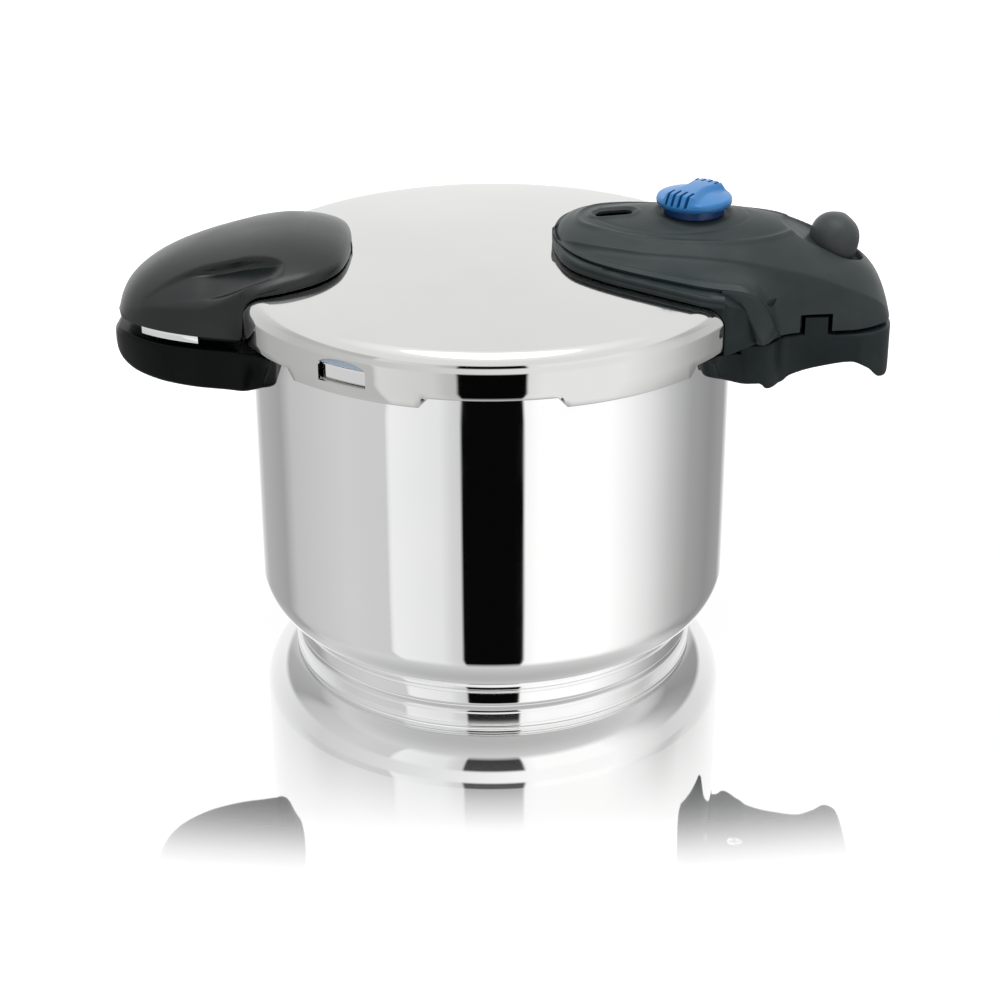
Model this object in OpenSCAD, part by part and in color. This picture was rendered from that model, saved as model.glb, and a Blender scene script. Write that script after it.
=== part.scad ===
// Stove-top pressure cooker: a stainless pot and a bayonet lid, each with a long grip and a
// short helper grip. The long lid grip holds the pressure dial, valves, indicator and lock.
// Millimetres. +Z is up, the origin is the centre of the base's resting face, +X is the long grip.

/* [Pot] */
// Outer radius of the pot wall
pot_r = 113; // [110:1:116]
// Thickness of the pot wall
pot_wall = 1; // [0.8:0.1:1.2]
// Outer radius of the curve between wall and floor
corner_r = 22; // [18:1:24]
// Height of the pot's top rim
rim_z = 172.4; // [172:0.1:172.6]
// Radius of the clad base disc
base_r = 97.8; // [95:0.2:98]
// Height of the pot's floor, which is the top of the clad disc
floor_z = 12; // [11:0.5:12]
// Radius that the six rim lugs reach
lug_r = 120.4; // [119:0.1:120.4]
// Width of one rim lug, in degrees
lug_deg = 26; // [20:1:28]

/* [Lid] */
// Outer radius of the lid's skirt
lid_r = 123; // [122.8:0.1:123.2]
// Thickness of the lid
lid_t = 1.2; // [1:0.1:1.4]
// Height of the crown of the lid's dome
crown_z = 192.4; // [192:0.1:193]
// Width of one bayonet tab, in degrees
tab_deg = 32; // [28:1:34]
// Height of the skirt's edge between the tabs
skirt_z = 164.6; // [164:0.1:165.4]
// Height of the lower edge of the tabs
tab_z = 160; // [159.6:0.1:161]

/* [Grips] */
// Height of the sliding seam, the lower face of the lid's grips
seam_z = 162.8; // [162.4:0.1:163.2]
// Height of the upper face of the long pot grip
pot_grip_z = 161; // [160:0.1:161.6]
// Thickness of the moulded covers
shell_t = 2.6; // [2.2:0.1:3]
// Thickness of the moulded flange that hugs the lid
flange_t = 5; // [4:0.2:5.4]

/* [Controls] */
// Distance of the dial and its valve from the centre of the lid
dial_x = 94; // [92:0.5:98]
// Radius of the dial's cap
dial_r = 17.6; // [16:0.2:18]
// Distance of the pressure indicator from the centre of the lid
pin_x = 57; // [56:0.5:58]
// Distance of the lock button from the centre of the lid
button_x = 161.5; // [160:0.5:162]

/* [Hidden] */
$fn = 96;

// The lid's dome is a shallow paraboloid, and its shoulder is one arc.
dome_k = 1860;
shoulder_r = 113.8;
shoulder_z = 176.2;
shoulder_arc = 9.2;
// Gap between a moulded part and the metal it sits on
fit = 0.3;
safety_x = 77;
safety_y = 18;
// The lock button slides on the slope of the cover.
slope = 29;
button_z = 192.6;
// The lock block on the pot grip is a piece of a ring, which runs in a channel of the lid grip.
block_r0 = 148;
block_r1 = 158;
block_top = 169.3;
channel_gap = 2;
channel_top = 171;
bolt_tip = 160.6;
bolt_w = 8;
bolt_z0 = 165;
bolt_z1 = 168;

// ---- Curves ----
function bend(a, b, c, d, t) = 0.5 * (2 * b + (c - a) * t + (2 * a - 5 * b + 4 * c - d) * t * t
    + (3 * b - a - 3 * c + d) * t * t * t);
function smooth(rows, n) = let (last = len(rows) - 1) concat(
    [for (i = [0:last - 1], k = [0:n - 1])
        bend(rows[max(i - 1, 0)], rows[i], rows[i + 1], rows[min(i + 2, last)], k / n)],
    [rows[last]]);
function arc(x, y, r, a0, a1, n) = [for (i = [0:n]) let (a = a0 + (a1 - a0) * i / n)
    [x + r * cos(a), y + r * sin(a)]];
function reversed(p) = [for (i = [len(p) - 1:-1:0]) p[i]];
function mirrored(p) = concat(p, [for (q = reversed(p)) [q[0], -q[1]]]);

// Outline of the lid's outer face, moved outwards by off, from the axis down to height z.
function dome_z(r, off) = crown_z - r * r / dome_k + off;
function lid_face(off, z) = concat(
    [for (r = [0:11.38:shoulder_r]) [r, dome_z(r, off)]],
    arc(shoulder_r, shoulder_z, shoulder_arc + off, 80, 0, 10),
    [[shoulder_r + shoulder_arc + off, z]]);

// Everything inside the lid's outer face, moved outwards by off.
module lid_space(off, z = 120)
    rotate_extrude() polygon(concat([[0, z]], lid_face(off, z)));

module sector(r0, r1, z0, z1, deg, at = 0)
    rotate(at - deg / 2) rotate_extrude(angle = deg) translate([r0, z0]) square([r1 - r0, z1 - z0]);

// A solid of constant outline in plan, or in side view.
module plan(points, z0, z1) translate([0, 0, z0]) linear_extrude(z1 - z0) polygon(points);
module side(points, half_w) rotate([90, 0, 0]) linear_extrude(2 * half_w, center = true) polygon(points);

// A loaf: rows of [x, top height, half width, fall from centre to edge, low height].
function loaf_ring(row, n) = concat(
    [for (k = [0:n]) let (u = -cos(180 * k / n))
        [row[0], row[2] * u, row[1] - row[3] * pow(abs(u), 2.2)]],
    [[row[0], row[2], row[4]], [row[0], -row[2], row[4]]]);
module loaf(rows, n = 18) {
    m = n + 3;
    last = len(rows) - 1;
    polyhedron(
        points = [for (row = rows) each loaf_ring(row, n)],
        faces = concat(
            [[for (k = [m - 1:-1:0]) k]],
            [for (i = [0:last - 1], k = [0:m - 1])
                [i * m + k, i * m + (k + 1) % m, (i + 1) * m + (k + 1) % m, (i + 1) * m + k]],
            [[for (k = [0:m - 1]) last * m + k]]));
}
// The same loaf, smaller by a wall's thickness: x is shortened about the middle.
function shrunk(rows, t, mid, half) =
    [for (r = rows) [mid + (r[0] - mid) * (1 - t / half), r[1] - t, max(r[2] - t, 0.6), r[3], r[4] - 4]];

module hex(r, z0, z1) translate([0, 0, z0]) cylinder(r = r, h = z1 - z0, $fn = 6);
module rod(r, z0, z1) translate([0, 0, z0]) cylinder(r = r, h = z1 - z0);
module tube(r0, r1, z0, z1) difference() {
    rod(r1, z0, z1);
    rod(r0, z0 - 1, z1 + 1);
}
// A round wire wound into a helix.
module helix_spring(r, wire, z0, z1, turns, sides = 6, steps = 12) {
    count = turns * steps;
    rise = (z1 - z0 - 2 * wire) / count;
    polyhedron(
        points = [for (i = [0:count], k = [0:sides - 1]) let (a = 360 * i / steps, b = 360 * k / sides)
            [(r + wire * cos(b)) * cos(a), (r + wire * cos(b)) * sin(a), z0 + wire + rise * i + wire * sin(b)]],
        faces = concat(
            [[for (k = [0:sides - 1]) k]],
            [for (i = [0:count - 1], k = [0:sides - 1]) let (j = (k + 1) % sides)
                [i * sides + k, (i + 1) * sides + k, (i + 1) * sides + j, i * sides + j]],
            [[for (k = [sides - 1:-1:0]) count * sides + k]]));
}

// ---- Pot ----
function pot_floor(inset) = let (c = pot_r - corner_r)
    concat([[0, floor_z + inset]], arc(c, floor_z + corner_r, corner_r - inset, -90, 0, 14));

// The rim is turned out to six lugs with a turned-down edge. Between them it is a narrow bead.
rim_t = 1.6;
rim_bead = 1.6;
lug_edge = 9.8;
module pot_shell() color("silver") difference() {
    rotate_extrude() polygon(concat(pot_floor(0), [[pot_r, rim_z - rim_t], [lug_r - rim_t, rim_z - rim_t],
        [lug_r - rim_t, rim_z - lug_edge], [lug_r, rim_z - lug_edge], [lug_r, rim_z],
        [pot_r - pot_wall, rim_z]], reversed(pot_floor(pot_wall))));
    for (a = [30:60:330])
        sector(pot_r + rim_bead, lug_r + 2, rim_z - lug_edge - 1, rim_z + 1, 60 - lug_deg, a);
}

module base_core() color("gainsboro")
    rotate_extrude() polygon([[0, 1.2], [92.6, 1.2], [base_r - 1.7, 3.6], [base_r - 1.7, floor_z - 4],
        [base_r - 2.4, floor_z - 3.4], [base_r - 2.4, floor_z - 2.2], [base_r - 1.7, floor_z - 1.7],
        [base_r - 1.7, floor_z], [0, floor_z]]);

module base_cap() color("silver")
    rotate_extrude() polygon(concat(
        [[0, 0]], arc(base_r - 3, 3, 3, -90, 0, 6),
        [[base_r, floor_z - 3.6], [base_r - 0.6, floor_z - 3.2], [base_r - 0.6, floor_z - 2.4],
        [base_r, floor_z - 2], [base_r, floor_z + 0.9], [base_r - 1.6, floor_z + 0.5],
        [base_r - 1.6, floor_z - 1.9], [base_r - 2.2, floor_z - 2.3], [base_r - 2.2, floor_z - 3.3],
        [base_r - 1.6, floor_z - 3.7], [base_r - 1.6, 3.5], [base_r - 5.1, 1.1], [0, 1.1]]));

// A welded bracket: a pad on the wall and a tongue that the grip's screw holds.
module pot_bracket(x1, pad_deg) {
    sector(pot_r, pot_r + 1.5, 144, 155, pad_deg);
    difference() {
        translate([pot_r + 0.4, -8, 148]) cube([x1 - pot_r - 0.4, 16, 3]);
        translate([x1 - 8, 0, 0]) rod(2.1, 140, 160);
    }
}
module pot_bracket_space(x1, pad_deg) {
    sector(pot_r - 1, pot_r + 1.8, 143.7, 155.3, pad_deg + 1);
    translate([pot_r, -8.3, 147.7]) cube([x1 - pot_r + 0.3, 16.6, 3.6]);
}
grip_bracket_x = 135;
helper_bracket_x = 133;
module pot_bracket_right() color("lightgray") pot_bracket(grip_bracket_x, 22);
module pot_bracket_left() color("lightgray") rotate(180) pot_bracket(helper_bracket_x, 22);

// Space under the lid's skirt that the pot's grips stay out of.
module skirt_space() rod(lid_r + 0.6, 156.4, 200);

pot_grip_plan = mirrored(smooth([[88, 64], [96, 61.5], [103, 54], [111, 50.6], [126, 50], [130, 44],
    [136, 38.8], [152, 38], [168, 38], [177, 35], [183, 28], [185.8, 17], [186, 6]], 3));
pot_grip_side = concat([[88, 166], [88, 141.5], [128, 141.5]],
    smooth([[131, 140.4], [138, 141.2], [152, 145.2], [165, 147], [173, 143.6], [179, 138],
    [183, 137], [185.6, 140], [186, 148]], 3), [[186, 166]]);
grip_screw_x = grip_bracket_x - 8;
helper_screw_x = helper_bracket_x - 8;

module pot_grip() color("#1e2021") difference() {
    union() {
        intersection() {
            plan(pot_grip_plan, 130, pot_grip_z);
            side(pot_grip_side, 70);
        }
        intersection() {
            sector(block_r0, block_r1, pot_grip_z - 1, block_top, 30, -8);
            plan(pot_grip_plan, 150, 175);
        }
        translate([grip_screw_x, 0]) rod(7, 138.6, 146);
    }
    rod(pot_r + 0.1, 100, 180);
    skirt_space();
    pot_bracket_space(grip_bracket_x, 22);
    translate([grip_screw_x, 0]) {
        rod(2.3, 130, 160);
        rod(4.3, 130, 142.3);
    }
    translate([block_r1 - 6, -bolt_w / 2 - 0.6, bolt_z0 - 0.6])
        cube([12, bolt_w + 1.2, bolt_z1 - bolt_z0 + 1.2]);
}

module grip_screw(top) {
    rod(2, 142.2, top);
    difference() {
        rod(4, 139.4, 142.2);
        translate([0, 0, 138.9]) for (a = [0, 90]) rotate(a) translate([-3, -0.5, 0]) cube([6, 1, 1.8]);
    }
}
module pot_grip_screw() color("lightgray") translate([grip_screw_x, 0]) grip_screw(154);

helper_plan = mirrored(smooth([[88, 64], [95, 62], [102, 54], [110, 47], [122, 43.4], [136, 40.6],
    [150, 35.6], [161, 28.6], [170, 19.6], [175.4, 10], [177, 3]], 3));
helper_side = concat([[88, 157.4], [88, 139.6]],
    smooth([[104, 137.4], [122, 136.6], [146, 136.4], [164, 137.4], [172, 139.6], [176, 143.4],
    [177.4, 148], [176.8, 153], [175, 157.4]], 3));

module helper_grip() color("#111213") rotate(180) difference() {
    intersection() {
        plan(helper_plan, 130, 160);
        side(helper_side, 70);
    }
    rod(pot_r + 0.1, 100, 180);
    skirt_space();
    pot_bracket_space(helper_bracket_x, 22);
    translate([helper_screw_x, 0]) {
        rod(2.3, 130, 156);
        rod(4.3, 130, 142.3);
    }
}
module helper_grip_screw() color("lightgray") rotate(180) translate([helper_screw_x, 0])
    grip_screw(154);

// ---- Seal ----
module gasket() color("#7d8fa0")
    rotate_extrude() polygon([[110, rim_z + 0.3], [121.3, rim_z + 0.3], [121.3, 177.6], [117.5, 181.6],
        [111, 183], [110.2, 181], [116.8, 179.4], [118.8, 177], [118.8, 175.2], [110, 174.4]]);

// ---- Lid ----
module at_valve() translate([dial_x, 0]) children();
module at_pin() translate([pin_x, 0]) children();
module at_safety() translate([safety_x, safety_y]) children();
nose_x = 44;

// Arched inspection window in one tab, through which the seal shows and vents.
window_at = -122;
window_w = 25;
module window_cut() rotate(window_at) translate([lid_r - 7, 0, 0]) rotate([90, 0, 90]) linear_extrude(12)
    polygon(concat([[-window_w / 2, 165.6], [window_w / 2, 165.6]],
        [for (i = [0:12]) let (u = 1 - i / 6) [window_w / 2 * u, 172 + 3.2 * sqrt(max(0, 1 - u * u * 0.9))]]));

module lid_shell() color("whitesmoke") difference() {
    rotate_extrude() polygon(concat(lid_face(0, tab_z),
        [[lug_r + 0.35, tab_z], [lug_r + 0.35, tab_z + 1.2]],
        reversed(lid_face(-lid_t, tab_z + 1.2))));
    for (a = [30:60:330]) sector(lug_r - 3, lid_r + 3, tab_z - 1, skirt_z, 60 - tab_deg, a);
    window_cut();
    at_valve() rod(5.1, 170, 200);
    at_pin() rod(4.1, 170, 200);
    at_safety() rod(4.1, 170, 200);
}

// Straps welded to the lid, which the moulded bases screw on to.
module strap(x0, x1, w) {
    intersection() {
        difference() {
            lid_space(1.6, 168);
            lid_space(0.02, 100);
        }
        translate([x0, -w / 2, 150]) cube([x1 - x0, w, 60]);
    }
    for (y = [-w / 2 + 4, w / 2 - 4]) translate([shoulder_r - 2, y]) tube(1.7, 3.4, 186.9, 193.5);
}
module strap_space(x0, x1, w) {
    intersection() {
        lid_space(1.9, 160);
        translate([x0 - 0.3, -w / 2 - 0.3, 150]) cube([x1 - x0 + 1, w + 0.6, 60]);
    }
    for (y = [-w / 2 + 4, w / 2 - 4]) translate([shoulder_r - 2, y]) rod(3.7, 180, 193.8);
}
module lid_grip_bracket() color("lightgray") strap(107.2, 125, 24);
module lid_helper_bracket() color("lightgray") rotate(180) strap(100, 125, 30);

// Rows of the long cover: x, top height, half width, fall to the edge, low height.
cover_rows = [[28.6, 194.6, 6, 1.2, 180], [30.4, 198.4, 12, 3, 180], [35.6, 202.6, 20, 4.6, 180],
    [45, 206, 26.4, 8.2, 180], [57, 208.2, 31, 10.2, 178], [70, 209.8, 34, 12.4, 174],
    [84, 210.3, 36, 13.4, 168], [98, 210, 37.2, 13.6, 162.8], [112, 208.7, 38, 13.4, 162.8],
    [126, 206.2, 38.4, 13, 162.8], [138, 203.4, 38.4, 12.8, 162.8], [149, 198.8, 38.3, 12.2, 162.8],
    [160, 192.9, 38, 12, 162.8], [169, 187.6, 36.6, 11.8, 162.8], [175.6, 181.8, 33.8, 10.4, 162.8],
    [180.6, 174.4, 30, 8, 162.8], [183.6, 167.4, 26, 3.6, 162.8], [184.8, 164.2, 22.6, 1, 162.8]];
grip_base_plan = mirrored(smooth([[30.4, 3], [31.6, 15], [34, 26], [38.6, 35.4], [46, 43], [57, 50.4],
    [66, 55], [75, 59.2], [86, 64], [96, 67.6], [104, 67.6], [110, 62.4], [116, 56.6], [121, 51.6],
    [126, 45.6], [130, 39]], 3));
core_plan = mirrored([[122, 34.4], [150, 35], [164, 34.6], [172, 31.6], [177, 26.4], [180, 20]]);
// Screws that hold the long cover: x, y and the height of the tip.
cover_screws = [[137, 25, 184], [137, -25, 184], [167, 20, 178], [167, -20, 178]];
root_top = 180;
core_side = [[120, 160], [180, 160], [177.4, 169], [173, 176], [120, 176]];

// Channel for the lock block, open on the near side and closed on the far side.
module block_channel() sector(block_r0 - channel_gap, block_r1 + channel_gap, 150, channel_top, 70, -24);
module at_screw(p) translate([p[0], p[1], 0]) children();

module grip_base_body() {
    // Flange over the lid, and the root block that comes down outside the skirt
    intersection() {
        union() {
            lid_space(fit + flange_t, seam_z);
            tube(shoulder_r + 4, 140, seam_z, root_top);
        }
        plan(grip_base_plan, seam_z, 215);
    }
    intersection() {
        plan(core_plan, seam_z, 176);
        side(core_side, 40);
    }
    translate([nose_x, 0]) rod(6, 190, 198.4);
}
module lid_grip_base() color("#26292b") difference() {
    grip_base_body();
    lid_space(fit);
    strap_space(107.2, 125, 24);
    block_channel();
    // Way of the bolt, and the chamber above it
    translate([block_r1, -bolt_w / 2 - 0.4, bolt_z0 - 0.4]) cube([8, bolt_w + 0.8, 20]);
    translate([160.8, -6.6, bolt_z0 - 0.4]) cube([12.8, 13.2, 20]);
    at_valve() rod(10, 170, 230);
    at_pin() rod(8, 170, 230);
    at_safety() rod(8, 170, 230);
    translate([nose_x, 0]) rod(2.7, 170, 230);
    for (y = [-8, 8]) translate([shoulder_r - 2, y]) rod(1.8, 190, 230);
    for (p = cover_screws) at_screw(p) {
        rod(1.8, 150, 230);
        rod(3.6, 150, 167);
    }
}

module lid_grip_cover() color("#303436") difference() {
    union() {
        difference() {
            loaf(smooth(cover_rows, 2));
            loaf(smooth(shrunk(cover_rows, shell_t, 107, 78), 2));
        }
        intersection() {
            loaf(cover_rows);
            for (p = cover_screws) at_screw(p) rod(4, 176.2, 215);
        }
        // Well that the dial's collar sits in
        intersection() {
            loaf(cover_rows);
            at_valve() rod(17, dial_z - 6.8, 215);
        }
    }
    lid_space(fit + flange_t);
    grip_base_body();
    block_channel();
    for (p = cover_screws) at_screw(p) rod(1.5, 150, p[2] + 0.6);
    at_valve() {
        rod(9.8, 180, 230);
        rod(14.6, dial_z - 4.3, 230);
    }
    // Room over the safety valve and over the nose nut
    at_safety() rod(6.3, 180, 202.9);
    translate([nose_x, 0]) rod(5.4, 190, 202.6);
    // Oblong indicator window
    for (x = [pin_x - 4.6, pin_x + 4.6]) translate([x, 0]) rod(4, 200, 230);
    translate([pin_x - 4.6, -4, 200]) cube([9.2, 8, 30]);
    // Slot for the button's carrier
    on_slope() translate([-11.8, -4.6, -12]) cube([16.2, 9.2, 30]);
}

module lid_grip_screws() color("lightgray") {
    for (p = cover_screws) at_screw(p) {
        rod(1.45, 166, p[2]);
        difference() {
            rod(3.3, 164, 166.8);
            translate([-0.4, -2.4, 163.4]) cube([0.8, 4.8, 1.6]);
        }
    }
    for (y = [-8, 8]) translate([shoulder_r - 2, y]) {
        rod(1.6, 188, 197);
        rod(3, 194.2, 196.4);
    }
}

module lid_nose_stud() color("silver") difference() {
    translate([nose_x, 0]) rod(2.5, 190, 202);
    lid_space(0.02, 180);
}
module lid_nose_nut() color("lightgray") translate([nose_x, 0]) difference() {
    hex(4.4, 198.6, 201.4);
    rod(2.52, 190, 210);
}

// Rows of the helper cap, along -X
cap_rows = [[65, 193.4, 9, 1.2, 176], [67, 196, 22, 3, 176], [71, 198.4, 32, 5.4, 176],
    [77, 200.4, 40, 7.8, 172], [85, 202, 45.6, 10, 166], [95, 202.6, 49.4, 12, 163],
    [106, 201.6, 52, 14, 161.4], [118, 198.8, 51.4, 15.4, 161.4], [130, 195, 48.6, 16, 161.4],
    [142, 190.4, 44.6, 16, 161.4], [152, 185.4, 40, 15, 161.4], [161, 178.6, 33.6, 12, 161.4],
    [168, 170.6, 25.6, 7.4, 161.4], [172.6, 163.6, 16, 1.4, 161.4]];
helper_base_plan = mirrored(smooth([[68, 3], [70, 20], [76, 34], [86, 42], [98, 46.6], [112, 48.2],
    [126, 45.6], [140, 41], [152, 35.4], [161, 28], [167, 17]], 3));

module helper_base_body() {
    intersection() {
        lid_space(fit + 2.4, 163);
        plan(helper_base_plan, 163, 215);
    }
    intersection() {
        plan(helper_base_plan, 163, 166.4);
        translate([110, -60, 160]) cube([70, 120, 10]);
    }
    for (y = [-20, 20]) translate([140, y]) rod(4, 163, 176);
}
module lid_helper_base() color("#17191a") rotate(180) difference() {
    helper_base_body();
    lid_space(fit);
    strap_space(100, 125, 30);
    for (y = [-11, 11]) translate([shoulder_r - 2, y]) rod(1.8, 180, 230);
    for (y = [-20, 20]) translate([140, y]) {
        rod(1.8, 150, 200);
        rod(3.6, 150, 166);
    }
}

module lid_helper_cap() color("#151617") rotate(180) difference() {
    union() {
        difference() {
            loaf(smooth(cap_rows, 2));
            loaf(smooth(shrunk(cap_rows, shell_t, 119, 54), 2));
        }
        intersection() {
            loaf(cap_rows);
            for (y = [-20, 20]) translate([140, y]) rod(4, 176.3, 200);
        }
    }
    lid_space(fit + 0.8);
    helper_base_body();
    for (y = [-20, 20]) translate([140, y]) rod(1.5, 150, 184);
}

module lid_helper_screws() color("lightgray") rotate(180) {
    for (y = [-20, 20]) translate([140, y]) {
        rod(1.45, 165, 182);
        rod(3.3, 163.4, 165.8);
    }
    for (y = [-11, 11]) translate([shoulder_r - 2, y]) {
        rod(1.6, 188, 195.8);
        rod(3, 193.6, 195.6);
    }
}

// ---- Working valve under the dial ----
dial_z = 211.6;
valve_top = dial_z - 2.2;
module valve_body() color("goldenrod") at_valve() difference() {
    union() {
        rod(4.9, 177, 190);
        rod(8, 188.3, 190.4);
        rod(7.5, 190, valve_top);
    }
    rod(2.4, 170, 200);
    rod(5.5, 194, 220);
}
module valve_seal() color("dimgray") at_valve() tube(5.1, 8.4, 183, 185);
module valve_nut() color("silver") at_valve() difference() {
    hex(8.6, 178.6, 182.9);
    rod(4.95, 170, 190);
}
module valve_piston() color("silver") at_valve() {
    rod(2.1, 192, 194.3);
    rod(5.3, 194.2, 197);
    rod(1.6, 196.5, valve_top - 5);
}
module valve_spring() color("gray") at_valve() helix_spring(3.6, 0.5, 197.1, valve_top - 6.1, 5);
module valve_spring_seat() color("goldenrod") at_valve() difference() {
    rod(5.45, valve_top - 6, valve_top - 0.4);
    rod(1.9, 200, valve_top - 1.8);
    for (a = [0:90:270]) rotate(a) translate([3.6, 0]) rod(0.8, 200, 220);
}

// ---- Dial ----
// The wings of the dial point at this angle.
dial_turn = 63;
module dial_cap() color("#3b82e0") at_valve() difference() {
    union() {
        rotate_extrude() polygon(concat([[0, dial_z], [dial_r - 1.2, dial_z]],
            arc(dial_r - 1.4, dial_z + 1.6, 1.4, -60, 40, 5), [[dial_r - 2.4, dial_z + 5], [0, dial_z + 7]]));
        rotate(dial_turn) intersection() {
            rod(dial_r - 0.4, dial_z, dial_z + 11.6);
            for (m = [0, 180]) rotate(m) plan(mirrored([[0, 4.4], [9, 5.6], [dial_r, 8.6]]), dial_z, dial_z + 10);
        }
    }
    // Finger grooves in the ends of the two wings
    rotate(dial_turn) for (m = [0, 180], k = [-1.5:1.5]) rotate(m)
        translate([10.4, 3.1 * k - 0.6, dial_z + 3.4]) cube([10, 1.2, 10]);
}
module dial_collar() color("#1b4fa8") at_valve() difference() {
    union() {
        rod(14, dial_z - 3.9, dial_z - 0.02);
        rod(9.3, dial_z - 13.2, dial_z - 3.2);
    }
    rod(7.57, 190, dial_z - 1);
}
module dial_cam() color("ivory") at_valve() difference() {
    union() {
        rod(12, dial_z - 16.6, dial_z - 13.3);
        for (a = [0, 180]) rotate(a) translate([10, -2.5, dial_z - 16.6]) cube([5, 5, 3.3]);
    }
    rod(7.57, 190, dial_z);
}

// ---- Pressure indicator ----
module indicator_bush() color("silver") at_pin() difference() {
    union() {
        rod(3.9, 186.4, 192);
        rod(6.4, 191.2, 192.6);
    }
    rod(3, 180, 200);
}
module indicator_nut() color("lightgray") at_pin() difference() {
    hex(6.2, 186.4, 188.8);
    rod(3.95, 180, 200);
}
module indicator_pin() color("crimson") at_pin() {
    rod(2.93, 179.6, 202);
    rod(5, 177.8, 180);
}
module indicator_clip() color("gray") at_pin() tube(2.95, 5, 192.8, 193.8);

// ---- Safety valve ----
module safety_body() color("goldenrod") at_safety() difference() {
    union() {
        rod(3.9, 181, 191);
        rod(7, 190, 191.6);
        rod(6, 191, 202);
    }
    rod(1.8, 170, 200);
    rod(4.3, 193.4, 210);
}
module safety_seal() color("dimgray") at_safety() tube(4.1, 6.8, 184.9, 186.7);
module safety_nut() color("silver") at_safety() difference() {
    hex(6.8, 181.6, 184.8);
    rod(3.95, 170, 190);
}
module safety_poppet() color("silver") at_safety() {
    rod(1.6, 191.6, 193.6);
    rod(4.1, 193.5, 195.2);
    rod(1, 195, 199);
}
module safety_spring() color("gray") at_safety() helix_spring(2.6, 0.4, 195.3, 199.9, 4);
module safety_cap() color("goldenrod") at_safety() difference() {
    rod(4.25, 200, 202.6);
    rod(1.5, 190, 210);
}

// ---- Lid lock ----
module on_slope() translate([button_x, 0, button_z]) rotate([0, slope, 0]) children();
module lock_button() color("#2b2e30") on_slope() translate([-2.5, 0, 0])
    rotate_extrude() polygon(concat([[0, 0.4], [11.4, 0.4]], arc(7.4, 5.4, 5.8, -20, 40, 6),
        arc(0, 2, 11.6, 50, 90, 6)));
module lock_carrier() color("gray") on_slope() difference() {
    translate([-3.4, -4, -13]) cube([7.4, 8, 13.3]);
    carrier_pin(1.42);
}
module carrier_pin(r) translate([0, 0, -11]) rotate([90, 0, 0]) cylinder(r = r, h = 16, center = true);
module lock_pin() color("silver") on_slope() carrier_pin(1.4);

// The bolt follows the carrier's pin, which runs in the upright slots of its two cheeks.
pin_rest_x = button_x - 11 * sin(slope);
column_x = 165.2;
bolt_end = 171;
module lock_bolt() color("silver") {
    translate([bolt_tip, -bolt_w / 2, bolt_z0]) cube([bolt_end - bolt_tip, bolt_w, bolt_z1 - bolt_z0]);
    translate([column_x, -bolt_w / 2, bolt_z0]) cube([bolt_end - column_x, bolt_w, 12]);
    translate([pin_rest_x - 4, -7.6, 176.4]) cube([bolt_end - pin_rest_x + 4, 15.2, 2.2]);
    for (y = [-6.1, 6.1]) translate([pin_rest_x, y, 0]) side([[-4, 177], [4, 177], [4, 186.6],
        [1.5, 187.6], [1.5, 180.6], [-1.5, 180.6], [-1.5, 189], [-4, 189.4]], 1.5);
}
module lock_guide() color("ivory") for (y = [-6.2, 4.4])
    translate([161.2, y, bolt_z0 - 0.1]) cube([10, 1.8, 7]);
module lock_detent() color("silver")
    side([[171.6, 166], [172.1, 166], [173.2, 170], [172.1, 174], [171.6, 174], [172.7, 170]], 3.6);

pot_shell();
base_core();
base_cap();
pot_bracket_right();
pot_bracket_left();
pot_grip();
pot_grip_screw();
helper_grip();
helper_grip_screw();
gasket();
lid_shell();
lid_grip_bracket();
lid_grip_base();
lid_grip_cover();
lid_grip_screws();
lid_nose_stud();
lid_nose_nut();
lid_helper_bracket();
lid_helper_base();
lid_helper_cap();
lid_helper_screws();
valve_body();
valve_seal();
valve_nut();
valve_spring_seat();
valve_piston();
valve_spring();
dial_cap();
dial_collar();
dial_cam();
indicator_bush();
indicator_nut();
indicator_pin();
indicator_clip();
safety_body();
safety_seal();
safety_nut();
safety_poppet();
safety_spring();
safety_cap();
lock_button();
lock_carrier();
lock_pin();
lock_bolt();
lock_guide();
lock_detent();
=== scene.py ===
"""The look of a stove-top pressure cooker, built around its CAD frame: camera, studio, materials, pieces.

Shapes are worked out in millimetres, in the frame's own axes, and scaled to metres as each mesh is made.
"""

import math

import bmesh
import bpy
from mathutils import Matrix, Vector


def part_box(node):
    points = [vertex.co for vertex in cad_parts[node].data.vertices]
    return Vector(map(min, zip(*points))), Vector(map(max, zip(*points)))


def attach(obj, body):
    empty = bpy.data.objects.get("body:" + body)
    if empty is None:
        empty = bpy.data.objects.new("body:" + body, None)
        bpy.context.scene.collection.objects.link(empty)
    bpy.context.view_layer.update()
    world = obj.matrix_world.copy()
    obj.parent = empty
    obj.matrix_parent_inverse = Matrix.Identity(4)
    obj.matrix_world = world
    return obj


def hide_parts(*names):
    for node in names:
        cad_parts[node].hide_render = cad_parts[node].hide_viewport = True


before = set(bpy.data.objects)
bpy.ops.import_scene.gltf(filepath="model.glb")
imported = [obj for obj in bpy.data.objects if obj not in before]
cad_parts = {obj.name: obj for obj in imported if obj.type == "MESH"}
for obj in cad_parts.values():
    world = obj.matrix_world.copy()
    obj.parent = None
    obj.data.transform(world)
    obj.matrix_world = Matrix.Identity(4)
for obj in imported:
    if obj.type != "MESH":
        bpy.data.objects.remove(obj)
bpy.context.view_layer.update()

MM = 0.001


# ---- Driving sizes, read from the frame ----
def box_mm(node):
    low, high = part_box(node)
    return Vector(low) / MM, Vector(high) / MM


def middle(node):
    low, high = box_mm(node)
    return (low + high) / 2


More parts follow.
